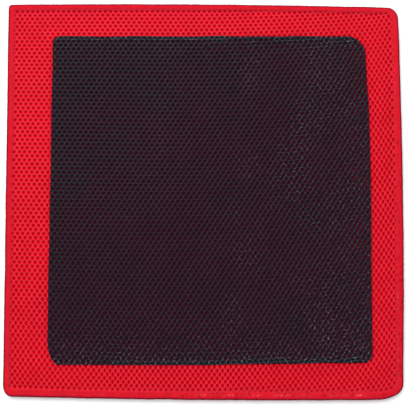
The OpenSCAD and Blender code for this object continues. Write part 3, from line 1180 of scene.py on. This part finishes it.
def rubber_finish(look):
    """Black synthetic rubber: satin over the struts, glossier where it floods them. The blue where it
    floods them is a painted sheen, the blue where the coat is thick is partly painted sheen, and pale
    spots on the struts' tops are painted glints
    """
    finish = Finish("black_rubber", 0.40, 0.15)
    full = finish.attribute("full")
    ring = finish.attribute("ring")
    patch = finish.noise(14 * MM)
    fine = finish.noise(0.9 * MM, 4.0)
    worn = finish.blend(patch, fine, 0.5)
    thin = finish.mix(finish.unit(worn, 0.3, 0.7), shade(look.rubber, 0.7), shade(look.rubber, 1.7))
    # Where the coat is thick the colour turns bluer, partly with painted sheen
    plain = finish.mix(finish.math("MULTIPLY", finish.attribute("coat"), 0.85), thin, look.rubber_thick_and_sheen)
    lined = finish.mix(finish.unit(ring, 1.0, 1.8), plain, look.cloth_stained)
    # Where the rubber floods the holes it takes a painted bluish sheen
    flooded = finish.mix(finish.unit(full, 0.35, 0.8), lined, look.rubber_sheen)
    # Painted glints: pale spots on the tops of the struts
    spots = finish.unit(finish.noise(1.3 * MM, 1.0), 0.55, 0.70)
    on_top = finish.range(ring, 0.3, 0.9, 1.0, 0.0)
    painted_glints = finish.math("MULTIPLY", finish.math("MULTIPLY", spots, on_top), finish.attribute("glinted"))
    finish.feed("Base Color", finish.mix(painted_glints, flooded, look.rubber_glint))
    dull = finish.range(worn, 0.35, 0.65, 0.24, 0.46)
    glossy = finish.math("MAXIMUM", full, finish.attribute("coat"))
    finish.feed("Roughness", finish.math("SUBTRACT", dull, finish.math("MULTIPLY", glossy, 0.12)))
    rounded = finish.round_strut(ring)
    lumps = finish.math("ADD", fine, finish.noise(2.5 * MM, 2.0))
    finish.bump(finish.math("ADD", finish.math("MULTIPLY", lumps, 0.35), rounded), 0.45 * MM, 1.0)
    return finish.material


def thread_finish(look):
    """Twisted polyester sewing thread"""
    finish = Finish("red_sewing_thread", 0.5, 0.45, sheen_weight=0.2, sheen_roughness=0.4)
    twist = finish.node("ShaderNodeTexWave", {"Vector": finish.place, "Scale": 900.0, "Distortion": 1.5},
                        wave_type="BANDS", bands_direction="DIAGONAL").outputs["Fac"]
    finish.feed("Base Color", finish.mix(twist, shade(look.thread, 0.8), shade(look.thread, 1.2)))
    finish.bump(twist, 0.03 * MM, 0.6)
    return finish.material


def floor_finish(look):
    finish = Finish("pale_floor", 0.9, 0.2)
    patch = finish.noise(400 * MM)
    finish.feed("Base Color", finish.mix(patch, shade(look.floor, 0.995), shade(look.floor, 1.005)))
    return finish.material


def finish_named(name, maker):
    """The material of that name, made once"""
    return bpy.data.materials.get(name) or maker(bpy.context.scene.towel_look)


# ---------------------------------------------------------------- operators

def ride(piece, slot_name, *nodes):
    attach(piece, BODY)
    if nodes:
        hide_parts(*nodes)
    return piece


class TOWEL_OT_front_ply(bpy.types.Operator):
    """Builds the front ply: its closed body and its perforated face, in two stretches"""

    bl_idname = "towel.front_ply"
    bl_label = "Front Ply"

    def execute(self, context):
        cloth = context.scene.towel_cloth
        mesh_red = finish_named("red_air_mesh", mesh_finish)
        knit_red = finish_named("red_plain_knit", shell_finish)
        ply = ply_shell("front_ply", cloth, front_section(cloth), knit_red, True)
        panel = context.scene.towel_panel

        def in_panel(hole):
            placed = settle(hole, cloth)
            return PANEL.inset(placed + panel_drift(placed, panel)) > -PANEL_REACH

        border = front_face("front_ply_mesh_border", cloth, panel, FINE_CELL,
                            PANEL.half - BORDER_REACH, lambda hole: ~in_panel(hole), 0.0, mesh_red)
        middle = front_face("front_ply_mesh_under_panel", cloth, panel, PLAIN_CELL,
                            (0, 0), in_panel, UNDER_RUBBER, mesh_red)
        ride(ply, "air_mesh", "front_mesh")
        for piece in (border, middle):
            ride(piece, "air_mesh")
        return {"FINISHED"}


class TOWEL_OT_back_ply(bpy.types.Operator):
    """Builds the back ply: its closed body and its perforated face"""

    bl_idname = "towel.back_ply"
    bl_label = "Back Ply"

    def execute(self, context):
        cloth = context.scene.towel_cloth
        knit_red = finish_named("red_plain_knit", shell_finish)
        ply = ply_shell("back_ply", cloth, back_section(cloth), knit_red, False)
        face = back_face("back_ply_mesh_face", cloth, finish_named("red_air_mesh", mesh_finish))
        ride(ply, "air_mesh", "back_mesh")
        ride(face, "air_mesh")
        return {"FINISHED"}


class TOWEL_OT_rubber_panel(bpy.types.Operator):
    """Builds the perforated rubber panel on the front ply"""

    bl_idname = "towel.rubber_panel"
    bl_label = "Rubber Panel"

    def execute(self, context):
        scene = context.scene
        panel = rubber_panel("rubber_panel", scene.towel_cloth, scene.towel_panel,
                             finish_named("black_rubber", rubber_finish))
        ride(panel, "polymer_rubber", "clay_panel")
        return {"FINISHED"}


class TOWEL_OT_sewing(bpy.types.Operator):
    """Builds the seam's needle and looper stitches and the hand-sewn closing stitches"""

    bl_idname = "towel.sewing"
    bl_label = "Sewing"

    def execute(self, context):
        scene = context.scene
        cloth, sewing = scene.towel_cloth, scene.towel_sewing
        thread = finish_named("red_sewing_thread", thread_finish)
        radius = sewing.thread / 2

        def line(inset, z):
            loop = settle(TOWEL.loop(inset, PER_SIDE, PER_CORNER), cloth)
            return np.column_stack([loop, np.full(len(loop), z)])

        seam = stitches("seam_needle_stitches", line(NEEDLE_INSET, SEAM_Z), True,
                        bar_stitch(radius, 1.1 * MM, 0.12 * MM, 0.7 * MM), sewing.stitch, thread)
        ride(seam, "sewing_thread", "seam_needle_thread")
        for side, lift in (("upper", LOOPER_LIFT), ("lower", -LOOPER_LIFT)):
            zigzag = looper_stitch(radius, sewing.stitch, LOOPER_BITE)
            loops = stitches(f"seam_{side}_looper_stitches", line(LOOPER_INSET, SEAM_Z + lift), True,
                             zigzag, sewing.stitch, thread)
            ride(loops, "sewing_thread", f"seam_{side}_looper_thread")
        gap = np.linspace(CLOSING_LOW.x, CLOSING_HIGH.x, 40)
        near_edge = TOWEL.centre[1] - TOWEL.half[1] + CLOSING_INSET
        near = settle(np.column_stack([gap, np.full(len(gap), near_edge)]), cloth)
        closing = stitches("closing_stitches", np.column_stack([near, np.full(len(near), SEAM_Z)]), False,
                           bar_stitch(radius, 1.7 * MM, 0.2 * MM, 1.6 * MM), sewing.closing_stitch, thread)
        ride(closing, "sewing_thread", "closing_thread")
        return {"FINISHED"}


class TOWEL_OT_stage(bpy.types.Operator):
    """Sets up the floor, the soft studio light and the camera above the towel"""

    bl_idname = "towel.stage"
    bl_label = "Stage"

    def execute(self, context):
        scene = context.scene
        square = np.array([(-3.0, -3, 0), (3, -3, 0), (3, 3, 0), (-3, 3, 0)])
        pale = finish_named("pale_floor", floor_finish)
        floor = mesh_object("floor", square, np.array([[0, 1, 2, 3]]), pale)
        scene.view_settings.view_transform = "Standard"
        world = bpy.data.worlds.new("studio")
        world.use_nodes = True
        background = world.node_tree.nodes["Background"]
        background.inputs["Color"].default_value = (1, 1, 1, 1)
        background.inputs["Strength"].default_value = 0.86
        scene.world = world
        add_light("window", place=(-0.45, 1.1, 1.3), size=2.0, power=39.0)
        add_camera(scene)
        return {"FINISHED"}


def add_light(name, place, size, power):
    data = bpy.data.lights.new(name, "AREA")
    data.shape = "SQUARE"
    data.size = size
    data.energy = power
    light = bpy.data.objects.new(name, data)
    light.location = place
    light.rotation_euler = (-Vector(place)).to_track_quat("-Z", "Y").to_euler()
    bpy.context.scene.collection.objects.link(light)


def add_camera(scene):
    """Almost straight above, a little to the near side, and aimed just off the middle"""
    distance = 0.75
    tilt = math.radians(3.6)
    view_width = 316.7 * MM
    aim = Vector((4.5 * MM, -6.7 * MM, CLOTH_Z))
    data = bpy.data.cameras.new("camera")
    data.sensor_width = 36
    data.lens = data.sensor_width * distance / view_width
    camera = bpy.data.objects.new("camera", data)
    camera.location = aim + Vector((0, -math.sin(tilt), math.cos(tilt))) * distance
    camera.rotation_euler = (tilt, 0, 0)
    scene.collection.objects.link(camera)
    scene.camera = camera


class TOWEL_PT_sidebar(bpy.types.Panel):
    """The towel's sizes, colours and building steps"""

    bl_label = "Surface-Prep Towel"
    bl_idname = "TOWEL_PT_sidebar"
    bl_space_type = "VIEW_3D"
    bl_region_type = "UI"
    bl_category = "Towel"

    def draw(self, context):
        layout = self.layout
        for settings in SETTINGS:
            group = getattr(context.scene, settings)
            box = layout.box()
            for key in group.bl_rna.properties.keys():
                if key not in ("rna_type", "name"):
                    box.prop(group, key)
        for operator in OPERATORS:
            layout.operator(operator.bl_idname)


SETTINGS = {
    "towel_cloth": TowelClothSettings,
    "towel_panel": TowelPanelSettings,
    "towel_sewing": TowelSewingSettings,
    "towel_look": TowelLookSettings,
}
OPERATORS = (TOWEL_OT_stage, TOWEL_OT_front_ply, TOWEL_OT_back_ply, TOWEL_OT_rubber_panel, TOWEL_OT_sewing)


def register():
    for cls in (*SETTINGS.values(), *OPERATORS, TOWEL_PT_sidebar):
        bpy.utils.register_class(cls)
    for name, cls in SETTINGS.items():
        setattr(bpy.types.Scene, name, PointerProperty(type=cls))


def unregister():
    for name in SETTINGS:
        delattr(bpy.types.Scene, name)
    for cls in reversed((*SETTINGS.values(), *OPERATORS, TOWEL_PT_sidebar)):
        bpy.utils.unregister_class(cls)


def main():
    register()
    bpy.ops.towel.stage()
    bpy.ops.towel.front_ply()
    bpy.ops.towel.back_ply()
    bpy.ops.towel.rubber_panel()
    bpy.ops.towel.sewing()


if __name__ == "__main__":
    main()
